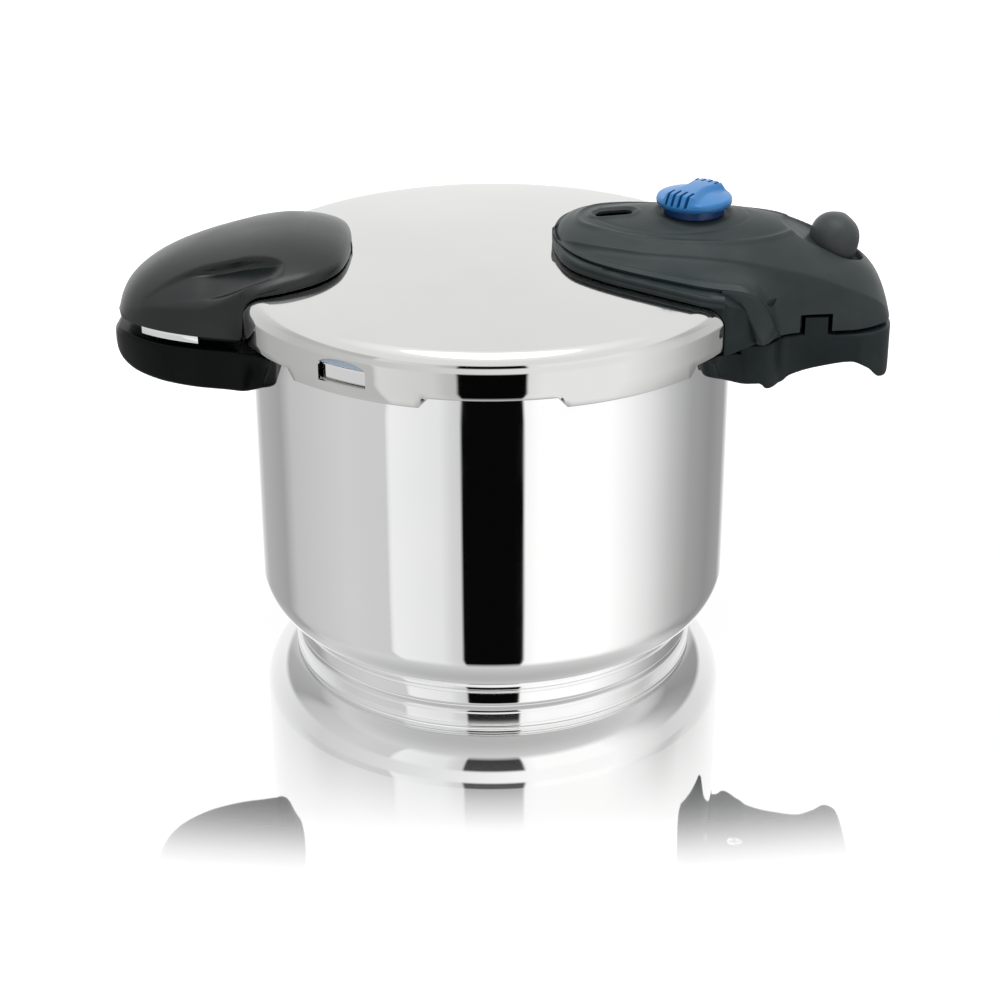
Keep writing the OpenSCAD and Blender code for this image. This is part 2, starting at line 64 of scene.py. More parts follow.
RIM_Z = box_mm("pot_shell")[1].z
LUG_R = box_mm("pot_shell")[1].x
LID_R = box_mm("lid_shell")[1].y
CROWN_Z = box_mm("lid_shell")[1].z
TAB_Z = box_mm("lid_shell")[0].z
BASE_R = box_mm("base_cap")[1].x
FLOOR_Z = box_mm("pot_shell")[0].z
BASE_TOP = box_mm("base_cap")[1].z
SEAM_Z = box_mm("lid_grip_base")[0].z
DIAL = middle("dial_collar")
PIN = middle("indicator_bush")
SAFETY = middle("safety_nut")
# Sizes of the CAD that no box gives
POT_R = 113
CORNER_R = 22
WALL = 1
LID_T = 1.2
LUG_DEG = 26
TAB_DEG = 32
DOME_K = 1860
SHOULDER_R = 113.8
SHOULDER_Z = 176.2
SHOULDER_ARC = LID_R - SHOULDER_R
SKIRT_Z = TAB_Z + 4.6
# Turned profiles start this far from the axis
AXIS_R = 0.01


# ---- Curves ----
def curve(rows, x):
    """A smooth curve through rows of (x, y) that never overshoots them."""
    if x <= rows[0][0]:
        return rows[0][1]
    if x >= rows[-1][0]:
        return rows[-1][1]
    slopes = [(b[1] - a[1]) / (b[0] - a[0]) for a, b in zip(rows, rows[1:])]
    i = next(k for k in range(len(slopes)) if x <= rows[k + 1][0])

    def tangent(k):
        if k == 0:
            return slopes[0]
        if k == len(slopes):
            return slopes[-1]
        left, right = slopes[k - 1], slopes[k]
        return 0 if left * right <= 0 else 2 * left * right / (left + right)

    step = rows[i + 1][0] - rows[i][0]
    t = (x - rows[i][0]) / step
    return (
        (2 * t**3 - 3 * t**2 + 1) * rows[i][1]
        + (t**3 - 2 * t**2 + t) * step * tangent(i)
        + (3 * t**2 - 2 * t**3) * rows[i + 1][1]
        + (t**3 - t**2) * step * tangent(i + 1)
    )


def ease(a, b, x):
    t = min(max((x - a) / (b - a), 0), 1)
    return t * t * (3 - 2 * t)


def mix(a, b, t):
    return a + (b - a) * t


def bump(x, width):
    return math.exp(-((x / width) ** 2))


def arc(x, z, r, start, end, steps):
    angles = [math.radians(start + (end - start) * i / steps) for i in range(steps + 1)]
    return [(x + r * math.cos(a), z + r * math.sin(a)) for a in angles]


def dome(x, y):
    return CROWN_Z - (x * x + y * y) / DOME_K


def capsule(x, y, x0, x1, radius):
    """Distance outside a slot along X, from x0 to x1 with round ends."""
    return math.hypot(x - min(max(x, x0), x1), y) - radius


# ---- Mesh helpers ----
def mesh_object(name, points, faces, sharp=40):
    mesh = bpy.data.meshes.new(name)
    mesh.from_pydata([Vector(p) * MM for p in points], [], faces)
    obj = bpy.data.objects.new(name, mesh)
    bpy.context.scene.collection.objects.link(obj)
    tidy(obj, sharp)
    return obj


def tidy(obj, sharp=40):
    """Welds what touches, turns the faces outwards and shades them smooth up to an angle."""
    work = bmesh.new()
    work.from_mesh(obj.data)
    bmesh.ops.remove_doubles(work, verts=work.verts, dist=1e-6)
    bmesh.ops.dissolve_degenerate(work, edges=work.edges, dist=1e-7)
    bmesh.ops.recalc_face_normals(work, faces=work.faces)
    work.to_mesh(obj.data)
    work.free()
    obj.data.shade_smooth()
    obj.data.set_sharp_from_angle(angle=math.radians(sharp))


def revolve(name, profile, segments):
    """A closed ring or disc. profile(angle in degrees) gives the same number of (r, z) at each angle."""
    rings = [profile(360 * i / segments) for i in range(segments)]
    count = len(rings[0])
    points = []
    for i, ring in enumerate(rings):
        a = 2 * math.pi * i / segments
        points += [(r * math.cos(a), r * math.sin(a), z) for r, z in ring]
    faces = []
    for i in range(segments):
        j = (i + 1) % segments
        for k in range(count):
            m = (k + 1) % count
            faces.append((i * count + k, j * count + k, j * count + m, i * count + m))
    return mesh_object(name, points, faces)


def sheet_points(rows, columns, surface):
    points = [surface(i / (rows - 1), j / (columns - 1)) for i in range(rows) for j in range(columns)]
    faces = [
        (i * columns + j, i * columns + j + 1, (i + 1) * columns + j + 1, (i + 1) * columns + j)
        for i in range(rows - 1)
        for j in range(columns - 1)
    ]
    return points, faces


def shell(name, rows, columns, surface, thickness, sharp=50):
    """A moulded shell whose outer face is surface(u, v)."""
    points, faces = sheet_points(rows, columns, surface)
    obj = mesh_object(name, points, faces, sharp)
    if sum(f.normal.z for f in obj.data.polygons) < 0:
        obj.data.flip_normals()
    wall = obj.modifiers.new("wall", "SOLIDIFY")
    wall.thickness = thickness * MM
    wall.offset = -1
    apply_modifiers(obj)
    return obj


def apply_modifiers(obj):
    graph = bpy.context.evaluated_depsgraph_get()
    mesh = bpy.data.meshes.new_from_object(obj.evaluated_get(graph))
    obj.modifiers.clear()
    obj.data = mesh


def prism(outline, low, high, where=Matrix()):
    """A cutter: an outline in its own XY plane, from low to high."""
    n = len(outline)
    points = [where @ Vector((x, y, z)) for z in (low, high) for x, y in outline]
    faces = [tuple(reversed(range(n))), tuple(range(n, 2 * n))]
    faces += [(i, (i + 1) % n, n + (i + 1) % n, n + i) for i in range(n)]
    return mesh_object("cutter", points, faces)


def boolean(obj, other, operation):
    """Joins, cuts or trims a piece with another one, which is then gone."""
    step = obj.modifiers.new("step", "BOOLEAN")
    step.operation = operation
    step.solver = "EXACT"
    step.object = other
    apply_modifiers(obj)
    bpy.data.objects.remove(other)


def cut(obj, *cutters, sharp=50):
    for cutter in cutters:
        boolean(obj, cutter, "DIFFERENCE")
    tidy(obj, sharp)


def tube_faces(rings, count):
    """Faces of a closed bar through rings of count points each."""
    faces = [tuple(range(count)), tuple(reversed(range((rings - 1) * count, rings * count)))]
    for i in range(rings - 1):
        for k in range(count):
            m = (k + 1) % count
            faces.append((i * count + k, (i + 1) * count + k, (i + 1) * count + m, i * count + m))
    return faces


def soften(obj, width):
    """Rounded moulded edges on a CAD node."""
    bevel = obj.modifiers.new("rounded edges", "BEVEL")
    bevel.width = width * MM
    bevel.segments = 3
    bevel.limit_method = "ANGLE"
    bevel.angle_limit = math.radians(35)
    bevel.use_clamp_overlap = True
    bevel.harden_normals = False
    obj.data.shade_smooth()


def place(obj, body, material, slot, *nodes):
    obj.data.materials.clear()
    obj.data.materials.append(material)
    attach(obj, body)
    if nodes:
        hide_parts(*nodes)


# ---- Shader nodes ----
def linear(value):
    """The light level of a screen value from 0 to 1."""
    return ((value + 0.055) / 1.055) ** 2.4 if value > 0.04045 else value / 12.92


def ramp_node(tree, rows, value, gain=0.0):
    """A colour ramp through rows of (position, level). With a gain, the levels are screen values."""
    ramp = tree.nodes.new("ShaderNodeValToRGB")
    stops = ramp.color_ramp.elements
    while len(stops) > 1:
        stops.remove(stops[-1])
    for i, (position, level) in enumerate(rows):
        stop = stops[0] if i == 0 else stops.new(position)
        stop.position = position
        light = linear(level) * gain if gain else level
        stop.color = (light, light, light, 1)
    tree.links.new(value, ramp.inputs["Fac"])
    return ramp.outputs["Color"]


def math_node(tree, operation, a, b=None):
    node = tree.nodes.new("ShaderNodeMath")
    node.operation = operation
    for socket, value in zip(node.inputs, (a, b)):
        if isinstance(value, (int, float)):
            socket.default_value = value
        elif value is not None:
            tree.links.new(value, socket)
    return node.outputs[0]


def mix_node(tree, share, a, b):
    """Colour a where the share is 0, and b where it is 1."""
    node = tree.nodes.new("ShaderNodeMix")
    node.data_type = "RGBA"
    tree.links.new(share, node.inputs["Factor"])
    tree.links.new(a, node.inputs["A"])
    tree.links.new(b, node.inputs["B"])
    return node.outputs["Result"]


def split_node(tree, output):
    """X, Y and Z of a texture coordinate."""
    where = tree.nodes.new("ShaderNodeTexCoord")
    split = tree.nodes.new("ShaderNodeSeparateXYZ")
    tree.links.new(where.outputs[output], split.inputs["Vector"])
    return split.outputs["X"], split.outputs["Y"], split.outputs["Z"]


# ---- Materials ----
class Shader:
    """A new material with a Principled shader, and short calls for what colours it."""

    def __init__(self, name, color, roughness, metallic=0.0, **inputs):
        self.material = bpy.data.materials.new(name)
        self.material.use_nodes = True
        self.nodes = self.material.node_tree.nodes
        self.links = self.material.node_tree.links
        self.shader = self.nodes["Principled BSDF"]
        self.shader.inputs["Base Color"].default_value = (*color, 1)
        self.shader.inputs["Roughness"].default_value = roughness
        self.shader.inputs["Metallic"].default_value = metallic
        for key, value in inputs.items():
            self.shader.inputs[key.replace("_", " ")].default_value = value

    def node(self, kind, **values):
        node = self.nodes.new(kind)
        for key, value in values.items():
            if hasattr(node, key):
                setattr(node, key, value)
            else:
                node.inputs[key.replace("_", " ")].default_value = value
        return node

    def noise(self, scale, detail=3.0, stretch=(1, 1, 1)):
        """Noise over the object's own position in metres."""
        where = self.node("ShaderNodeTexCoord")
        mapping = self.node("ShaderNodeMapping")
        mapping.inputs["Scale"].default_value = stretch
        self.links.new(where.outputs["Object"], mapping.inputs["Vector"])
        noise = self.node("ShaderNodeTexNoise", Scale=scale, Detail=detail)
        self.links.new(mapping.outputs["Vector"], noise.inputs["Vector"])
        return noise.outputs["Fac"]

    def ramp(self, value, low, high, source=(0.35, 0.65)):
        ranged = self.node("ShaderNodeMapRange")
        ranged.inputs["From Min"].default_value = source[0]
        ranged.inputs["From Max"].default_value = source[1]
        ranged.inputs["To Min"].default_value = low
        ranged.inputs["To Max"].default_value = high
        self.links.new(value, ranged.inputs["Value"])
        return ranged.outputs["Result"]

    def tint(self, value, dark, light):
        blend = self.node("ShaderNodeMix", data_type="RGBA")
        blend.inputs["A"].default_value = (*dark, 1)
        blend.inputs["B"].default_value = (*light, 1)
        self.links.new(self.ramp(value, 0, 1), blend.inputs["Factor"])
        self.links.new(blend.outputs["Result"], self.shader.inputs["Base Color"])

    def rough(self, value, low, high):
        self.links.new(self.ramp(value, low, high), self.shader.inputs["Roughness"])

    def relief(self, value, depth, strength=1.0):
        relief = self.node("ShaderNodeBump", Strength=strength, Distance=depth * MM)
        self.links.new(value, relief.inputs["Height"])
        self.links.new(relief.outputs["Normal"], self.shader.inputs["Normal"])


def mirror_steel():
    made = Shader("mirror_steel", (0.86, 0.865, 0.86), 0.035, 1.0)
    made.rough(made.noise(22), 0.02, 0.05)
    made.tint(made.noise(9), (0.85, 0.86, 0.855), (0.88, 0.88, 0.875))
    return made.material


def satin_steel():
    """Turned dome: very fine rings about the axis, over a soft mirror, and a polished skirt."""
    made = Shader("satin_steel", (0.67, 0.67, 0.655), 0.08, 1.0)
    x, y, _ = split_node(made.material.node_tree, "Object")
    flat = made.node("ShaderNodeCombineXYZ")
    made.links.new(x, flat.inputs["X"])
    made.links.new(y, flat.inputs["Y"])
    radius = made.node("ShaderNodeVectorMath", operation="LENGTH")
    made.links.new(flat.outputs["Vector"], radius.inputs[0])
    rings = made.node("ShaderNodeTexNoise", noise_dimensions="1D", Scale=2600, Detail=2)
    made.links.new(radius.outputs["Value"], rings.inputs["W"])
    made.relief(rings.outputs["Fac"], 0.003, 0.15)
    polish = made.ramp(radius.outputs["Value"], 0.075, 0.035, (0.1218, 0.1226))
    made.links.new(polish, made.shader.inputs["Roughness"])
    made.tint(made.noise(14), (0.66, 0.665, 0.65), (0.685, 0.685, 0.67))
    return made.material


def textured_plastic(name, dark, light, rough, grain=0.05):
    """Moulded phenolic with a fine spark-eroded texture."""
    made = Shader(name, dark, rough[0], Specular_IOR_Level=0.16)
    made.tint(made.noise(60), dark, light)
    made.rough(made.noise(35), *rough)
    made.relief(made.noise(1900, 2), grain, 0.5)
    return made.material


def smooth_plastic(name, dark, light, rough=(0.16, 0.24), specular=0.4):
    made = Shader(name, dark, rough[0], Specular_IOR_Level=specular)
    made.tint(made.noise(40), dark, light)
    made.rough(made.noise(50), *rough)
    made.relief(made.noise(300, 2), 0.02, 0.2)
    return made.material


def worked_metal(name, dark, light, rough=(0.22, 0.34)):
    made = Shader(name, dark, rough[0], 1.0)
    made.tint(made.noise(120), dark, light)
    made.rough(made.noise(260), *rough)
    made.relief(made.noise(900, 2, (1, 1, 6)), 0.01, 0.3)
    return made.material


def silicone():
    made = Shader("silicone", (0.3, 0.36, 0.43), 0.4, Subsurface_Weight=0.05)
    made.tint(made.noise(80), (0.28, 0.34, 0.41), (0.33, 0.39, 0.46))
    made.relief(made.noise(700), 0.03, 0.4)
    return made.material


STEEL = mirror_steel()
LID_STEEL = satin_steel()
MOULDED = (0.36, 0.46)
GRIP_BLACK = textured_plastic("grip_black", (0.016, 0.0215, 0.0215), (0.021, 0.0265, 0.0265), MOULDED)
# A darker copy of the grip plastic, for the lid grip's base and the pot grip, which sit lower, under the
# cover and the lid's rim: painted shade.
PAINTED_SHADE_GRIP = textured_plastic("painted_shade_grip_black", (0.006, 0.0105, 0.011), (0.009, 0.0145, 0.015), MOULDED)
BUTTON_BLACK = textured_plastic("button_black", (0.03, 0.034, 0.034), (0.036, 0.04, 0.04), (0.36, 0.42), 0.03)
POLISHED = (0.26, 0.32)
HELPER_BLACK = smooth_plastic("helper_black", (0.001, 0.003, 0.003), (0.0025, 0.0045, 0.0045), POLISHED, 0.42)
# A darker and much less glossy copy of the helper plastic, for the pot's ear and the lid helper's base, which
# sit under the helper cap and the lid's rim: painted shade.
PAINTED_SHADE_HELPER = smooth_plastic("painted_shade_helper_black", (0.0008, 0.0016, 0.0016), (0.0015, 0.0025, 0.0025), POLISHED, 0.09)
DIAL_BLUE = smooth_plastic("dial_blue", (0.013, 0.105, 0.27), (0.017, 0.12, 0.3), (0.2, 0.28))
DARK_BLUE = smooth_plastic("dial_dark_blue", (0.003, 0.022, 0.1), (0.004, 0.028, 0.12), (0.24, 0.32))
PLAIN = {
    "bracket_steel": worked_metal("bracket_steel", (0.6, 0.6, 0.6), (0.68, 0.68, 0.68)),
    "base_aluminium": worked_metal("base_aluminium", (0.74, 0.75, 0.76), (0.8, 0.8, 0.81)),
    "seal_rubber": silicone(),
    "screw_steel": worked_metal("screw_steel", (0.52, 0.52, 0.52), (0.64, 0.64, 0.64)),
    "valve_brass": worked_metal("valve_brass", (0.66, 0.5, 0.24), (0.76, 0.6, 0.3)),
    "piston_steel": worked_metal("piston_steel", (0.62, 0.62, 0.62), (0.7, 0.7, 0.7), (0.12, 0.2)),
    "spring_steel": worked_metal("spring_steel", (0.42, 0.42, 0.43), (0.56, 0.56, 0.56)),
    "cam_plastic": smooth_plastic("cam_plastic", (0.74, 0.72, 0.62), (0.8, 0.78, 0.7), (0.35, 0.45)),
    "indicator_red": smooth_plastic("indicator_red", (0.5, 0.02, 0.02), (0.6, 0.035, 0.03)),
    "lock_steel": worked_metal("lock_steel", (0.58, 0.58, 0.58), (0.66, 0.66, 0.66)),
}


# ---- Camera and studio ----
def camera():
    """The viewpoint: a long lens a metre away, looking down at about 25 degrees."""
    target = Vector((3.85, 0, 60.5))
    elevation, azimuth, distance = math.radians(25.35), math.radians(-0.48), 1125.3
    back = Vector((math.sin(azimuth) * math.cos(elevation), -math.cos(azimuth) * math.cos(elevation),
                   math.sin(elevation)))
    lens = bpy.data.cameras.new("camera")
    lens.lens = 82.67
    lens.sensor_width = 36
    obj = bpy.data.objects.new("camera", lens)
    roll = Matrix.Rotation(math.radians(-0.185), 4, "Z")
    turn = (-back).to_track_quat("-Z", "Y").to_matrix().to_4x4() @ roll
    obj.matrix_world = Matrix.Translation((target + back * distance) * MM) @ turn
    bpy.context.scene.collection.objects.link(obj)
    bpy.context.scene.camera = obj


PANEL_GAIN = 1.15
# Degrees from the viewer's side, positive towards +X, and the screen value of the tent's wall there
WALLS = [(-180, 1), (-165, 0.99), (-157, 0.8), (-148, 0.68), (-122, 0.62), (-112, 0.74), (-75, 0.8),
         (-52, 0.79), (-50, 0.93), (-25, 0.89), (-20, 0.83), (-14.9, 0.8), (-14.2, 0.03),
         (14.2, 0.03), (14.9, 0.96), (22, 1), (58, 1), (70, 0.94), (81, 0.87), (95, 0.74),
         (110, 0.62), (130, 0.55), (150, 0.6), (157, 0.8), (165, 0.99), (180, 1)]
PLAIN_WALLS = [(-180, 0.96), (-150, 0.95), (-120, 0.88), (-90, 0.8), (-60, 0.84), (-20, 0.9), (20, 0.98),
               (60, 0.98), (90, 0.82), (120, 0.86), (150, 0.95), (180, 0.96)]
# From straight down to straight up: the level of what is under and over the walls
TOP_LIGHT = [(0, 0.5), (0.16, 0.75), (0.44, 1), (0.9, 1.06), (0.97, 1.26), (0.985, 3.6), (1, 4.6)]


def studio_world():
    """A white tent: soft grey panels round the sides, one black flag in front, a bright top."""
    world = bpy.data.worlds.new("studio")
    world.use_nodes = True
    tree = world.node_tree
    x, y, z = split_node(tree, "Generated")
    angle = math_node(tree, "ARCTAN2", x, math_node(tree, "MULTIPLY", y, -1))
    share = math_node(tree, "ADD", math_node(tree, "DIVIDE", angle, 2 * math.pi), 0.5)
    # The sine of the elevation, as 0 for straight down to 1 for straight up
    height = math_node(tree, "ADD", math_node(tree, "MULTIPLY", z, 0.5), 0.5)
    walls, plain = (
        ramp_node(tree, [((a + 180) / 360, v) for a, v in rows], share, PANEL_GAIN)
        for rows in (WALLS, PLAIN_WALLS))
    # At eye level, and above it behind the cooker, the tent is plain
    level = ramp_node(tree, [(0.36, 0), (0.41, 1), (0.62, 1), (0.66, 0)], height)
    behind = ramp_node(tree, [(0, 1), (0.2, 1), (0.25, 0), (0.75, 0), (0.8, 1), (1, 1)], share)
    above = ramp_node(tree, [(0.5, 0), (0.56, 1)], height)
    plainness = math_node(tree, "MAXIMUM", level, math_node(tree, "MULTIPLY", behind, above))
    panels = mix_node(tree, plainness, walls, plain)
    top = ramp_node(tree, TOP_LIGHT, height)
    cover = ramp_node(tree, [(0, 1), (0.12, 1), (0.18, 0), (0.745, 0), (0.775, 1), (1, 1)], height)
    tree.links.new(mix_node(tree, cover, panels, top), tree.nodes["Background"].inputs["Color"])
    bpy.context.scene.world = world


def overhead_light():
    """A wide soft box above, which the steel does not show."""
    lamp = bpy.data.lights.new("overhead", "SUN")
    lamp.energy = 2.9
    lamp.angle = math.radians(60)
    soft = bpy.data.objects.new("overhead", lamp)
    soft.visible_glossy = False
    bpy.context.scene.collection.objects.link(soft)


# Share of mirror in the floor, over the distance from the middle as a share of MIRROR_R
MIRROR_R = 0.26
MIRROR = [(0, 0.96), (0.54, 0.96), (0.635, 0.92), (0.67, 0.87), (0.71, 0.81), (0.745, 0.72), (0.78, 0.6),
          (0.81, 0.48), (0.845, 0.35), (0.88, 0.24), (0.92, 0.12), (0.97, 0)]


def floor():
    """Plain white acrylic: a mirror under the pot that fades into plain white further out."""
    half, low = 12000, -0.2
    corners = [(-half, -half, low), (half, -half, low), (half, half, low), (-half, half, low)]
    obj = mesh_object("floor", corners, [(0, 1, 2, 3)])
    material = bpy.data.materials.new("white_acrylic")
    material.use_nodes = True
    tree = material.node_tree
    tree.nodes.remove(tree.nodes["Principled BSDF"])
    x, y, _ = split_node(tree, "Object")
    across = math_node(tree, "MULTIPLY", x, 0.45)
    squares = [math_node(tree, "MULTIPLY", a, a) for a in (across, y)]
    radius = math_node(tree, "SQRT", math_node(tree, "ADD", *squares))
    distance = math_node(tree, "DIVIDE", radius, MIRROR_R)
    matte = tree.nodes.new("ShaderNodeBsdfDiffuse")
    matte.inputs["Color"].default_value = (0.62, 0.62, 0.62, 1)
    gloss = tree.nodes.new("ShaderNodeBsdfAnisotropic")
    gloss.inputs["Color"].default_value = (0.97, 0.97, 0.97, 1)
    gloss.inputs["Roughness"].default_value = 0.02
    both = tree.nodes.new("ShaderNodeMixShader")
    tree.links.new(ramp_node(tree, MIRROR, distance), both.inputs["Fac"])
    tree.links.new(matte.outputs["BSDF"], both.inputs[1])
    tree.links.new(gloss.outputs["BSDF"], both.inputs[2])
    tree.links.new(both.outputs["Shader"], tree.nodes["Material Output"].inputs["Surface"])
    obj.data.materials.append(material)
    obj.visible_glossy = False


# ---- Pot ----
def on_lug(angle, width):
    """1 on one of six lugs or tabs of this width in degrees, 0 between them."""
    off = abs((angle + 30) % 60 - 30)
    return 1 - ease(width / 2 - 0.6, width / 2 + 0.6, off)


def pot_profile(angle):
    lug = on_lug(angle, LUG_DEG)
    reach = mix(POT_R + 2, LUG_R, lug)
    hem = mix(RIM_Z - 2.2, RIM_Z - 9.8, lug)
    outer = [(AXIS_R, FLOOR_Z), (45, FLOOR_Z), (82, FLOOR_Z)]
    outer += arc(POT_R - CORNER_R, FLOOR_Z + CORNER_R, CORNER_R, -90, 0, 28)
    outer += [(POT_R, z) for z in (60, 90, 120, 150, RIM_Z - 4)]
    rim = [(POT_R + 0.4, RIM_Z - 2), (reach - 1.6, RIM_Z - 1.8), (reach - 1.5, hem),
           (reach - 0.7, hem - 0.01), (reach, hem + 0.5), (reach, RIM_Z - 1)]
    rim += arc(reach - 1, RIM_Z - 1, 1, 15, 90, 5)
    inside = [(POT_R - WALL + 1.5, RIM_Z), (POT_R - WALL + 0.4, RIM_Z - 0.4), (POT_R - WALL, RIM_Z - 1.5)]
    inside += [(POT_R - WALL, z) for z in (150, 120, 90, 60)]
    inside += arc(POT_R - CORNER_R, FLOOR_Z + CORNER_R, CORNER_R - WALL, 0, -90, 28)
    return outer + rim + inside + [(82, FLOOR_Z + WALL), (45, FLOOR_Z + WALL), (AXIS_R, FLOOR_Z + WALL)]


def base_profile(_):
    """The clad disc's capsule, with a rolled groove below its upper lip."""
    groove = FLOOR_Z - 3.1
    outer = [(AXIS_R, 0), (60, 0), (BASE_R - 3.2, 0)] + arc(BASE_R - 3, 3, 3, -85, 0, 12)
    outer += [(BASE_R, groove - 1.1)] + arc(BASE_R + 0.5, groove, 1.3, 240, 120, 8)
    outer += [(BASE_R, groove + 1.2), (BASE_R, BASE_TOP - 0.6), (BASE_R - 0.4, BASE_TOP)]
    inner = [(BASE_R - 1.3, BASE_TOP - 0.2), (BASE_R - 1.6, FLOOR_Z - 1), (BASE_R - 1.6, 3.6),
             (BASE_R - 5, 1.1), (60, 1.1), (AXIS_R, 1.1)]
    return outer + inner


def make_pot():
    place(revolve("pot_body", pot_profile, 360), "pot", STEEL, "polished_steel", "pot_shell")
    place(revolve("pot_base", base_profile, 288), "pot", STEEL, "polished_steel", "base_cap")


# ---- Lid ----
def lid_profile(angle):
    tab = on_lug(angle, TAB_DEG)
    edge = mix(SKIRT_Z, TAB_Z, tab)
    hem = mix(LID_R - LID_T, LUG_R + 0.4, tab)
    crown = [i * SHOULDER_R / 12 for i in range(12)]
    outer = [(max(x, AXIS_R), dome(x, 0)) for x in crown]
    outer += arc(SHOULDER_R, SHOULDER_Z, SHOULDER_ARC, 82, 0, 20)
    outer += [(LID_R, 172), (LID_R, 168), (LID_R, edge + 0.7), (LID_R - 0.25, edge + 0.15)]
    outer += [(LID_R - 0.7, edge)]
    inner = [(mix(hem, LID_R, 0.25), edge), (hem, edge + 0.3), (hem, edge + 0.9)]
    inner += [(mix(hem, LID_R - LID_T, 0.9), edge + 1.3), (LID_R - LID_T, edge + 2.2)]
    inner += [(LID_R - LID_T, 170), (LID_R - LID_T, 173)]
    inner += arc(SHOULDER_R, SHOULDER_Z, SHOULDER_ARC - LID_T, 0, 82, 20)
    inner += [(max(x, AXIS_R), dome(x, 0) - LID_T) for x in reversed(crown)]
    return outer + inner


def circle(x, y, radius, steps=48):
    angles = [2 * math.pi * i / steps for i in range(steps)]
    return [(x + radius * math.cos(a), y + radius * math.sin(a)) for a in angles]


def window_cutter():
    """The arched inspection window in one tab of the skirt."""
    half, low, spring, rise = 12.3, 164.9, 171.8, 4.6
    outline = [(-half, low), (half, low)]
    outline += [(half * math.cos(a), spring + rise * math.sin(a) ** 0.8)
                for a in (math.pi * i / 16 for i in range(17))]
    upright = Matrix.Rotation(math.radians(-122), 4, "Z") @ Matrix(
        ((0, 0, 1, 0), (1, 0, 0, 0), (0, 1, 0, 0), (0, 0, 0, 1)))
    return prism(outline, LID_R - 6, LID_R + 6, upright)


def make_lid():
    lid = revolve("lid_dome", lid_profile, 360)
    holes = [(DIAL.x, 0, 5.1), (PIN.x, 0, 4.1), (SAFETY.x, SAFETY.y, 4.1)]
    cut(lid, window_cutter(), *(prism(circle(*hole), 170, 200) for hole in holes), sharp=35)
    place(lid, "lid", LID_STEEL, "satin_steel", "lid_shell")


# ---- Long lid grip ----
# Along X, in order: height over the middle, then the ridge where the side begins, then the lower edge
TOP = [(29.6, 195.6), (30.6, 198), (33, 201), (36.6, 203.4), (42, 205.6), (49, 207.2), (58, 208), (70, 208.6),
       (84, 208.9), (98, 208.8), (112, 208.1), (126, 206), (138, 203), (149, 198.6), (160, 193), (169, 188.6),
       (175.6, 184), (180.6, 178), (183.8, 170.6), (185.2, 164.2)]
RIDGE_Y = [(29.6, 0), (29.8, 3.6), (30.4, 7), (32, 12), (35, 18), (40, 24.4), (46, 28.4), (57, 31.5),
           (70, 34), (112, 35), (131, 35), (149, 34.5), (160, 34), (169, 32.6), (175.6, 30), (180.6, 26),
           (183.8, 20), (185.2, 13)]
RIDGE_Z = [(29.6, 194.8), (30.2, 196), (32, 197.8), (35, 199.8), (40, 201), (46, 201.3), (57, 200.6),
           (72, 199.2), (94, 197.6), (112, 195.4), (131, 191.6), (149, 187), (160, 182.4), (169, 178.6),
           (175.6, 175), (180.6, 170.6), (185.2, 163.5)]
EDGE_X = [(29.6, 29.6), (112, 112), (118, 118), (122, 122.6), (126, 126.6), (129, 128.8), (133, 131),
          (138, 136), (145, 144.6), (185.2, 185.2)]
EDGE_Y = [(29.6, 0), (29.7, 4.4), (30.1, 8.6), (31.4, 15), (34, 23), (38, 30.6), (45, 38.6), (49, 41.6),
          (57, 46.6), (70, 52.6), (84, 57.6), (94, 60.4), (104, 61.2), (111, 60), (118, 56), (122, 53),
          (126, 49.6), (129, 47), (133, 44.4), (138, 41.6), (146, 39.2), (156, 38.4), (165, 37.4),
          (172, 34.6), (178, 30.6), (182, 26.6), (184.2, 21), (185.2, 13.6)]
# How far the edge comes down from the dome, and the station from which it follows the seam
EDGE_FALL = [(104, 0), (111, 1.4), (118, 5.4), (122, 11), (126, 18.4), (129, 24), (133, 28)]
SEAM_FROM = 133
# Height of the edge above the lid
LIFT = 6.6
SEAT_Z = box_mm("dial_collar")[1].z - 4.3


def grip_section(s):
    """Centre height, ridge and edge points of the long cover at station s."""
    edge_x, edge_y = curve(EDGE_X, s), curve(EDGE_Y, s)
    radius = min(math.hypot(edge_x, edge_y), LID_R - 3)
    edge_z = CROWN_Z - radius**2 / DOME_K + LIFT - curve(EDGE_FALL, s)
    edge_z = max(edge_z, SEAM_Z + 0.2)
    if s > SEAM_FROM:
        edge_z = SEAM_Z + 0.2
    return curve(TOP, s), (s, curve(RIDGE_Y, s), curve(RIDGE_Z, s)), (edge_x, edge_y, edge_z)


def grip_relief(x, y):
    """Fine moulded relief on the top of the long cover: inlay lip, window rim, dial seat."""
    inlay = (abs((x - 91) / 51) ** 2.3 + abs(y / 27.5) ** 2.1) ** 0.5
    rise = 0.6 * bump((inlay - 1) * 27, 1.1) - 0.35 * (1 - ease(0.95, 0.99, inlay))
    line = (abs((x - 84) / 36) ** 2.2 + abs(y / 22) ** 2) ** 0.5
    rise -= 0.25 * bump((line - 1) * 22, 0.6)
    rim = capsule(x, y, PIN.x - 4.6, PIN.x + 4.6, 4)
    rise += 0.7 * bump(rim - 2.4, 1.1) - 0.5 * (1 - ease(0.4, 1.8, rim))
    seat = math.hypot(x - DIAL.x, y)
    return rise + 0.5 * bump(seat - 18, 1.4)


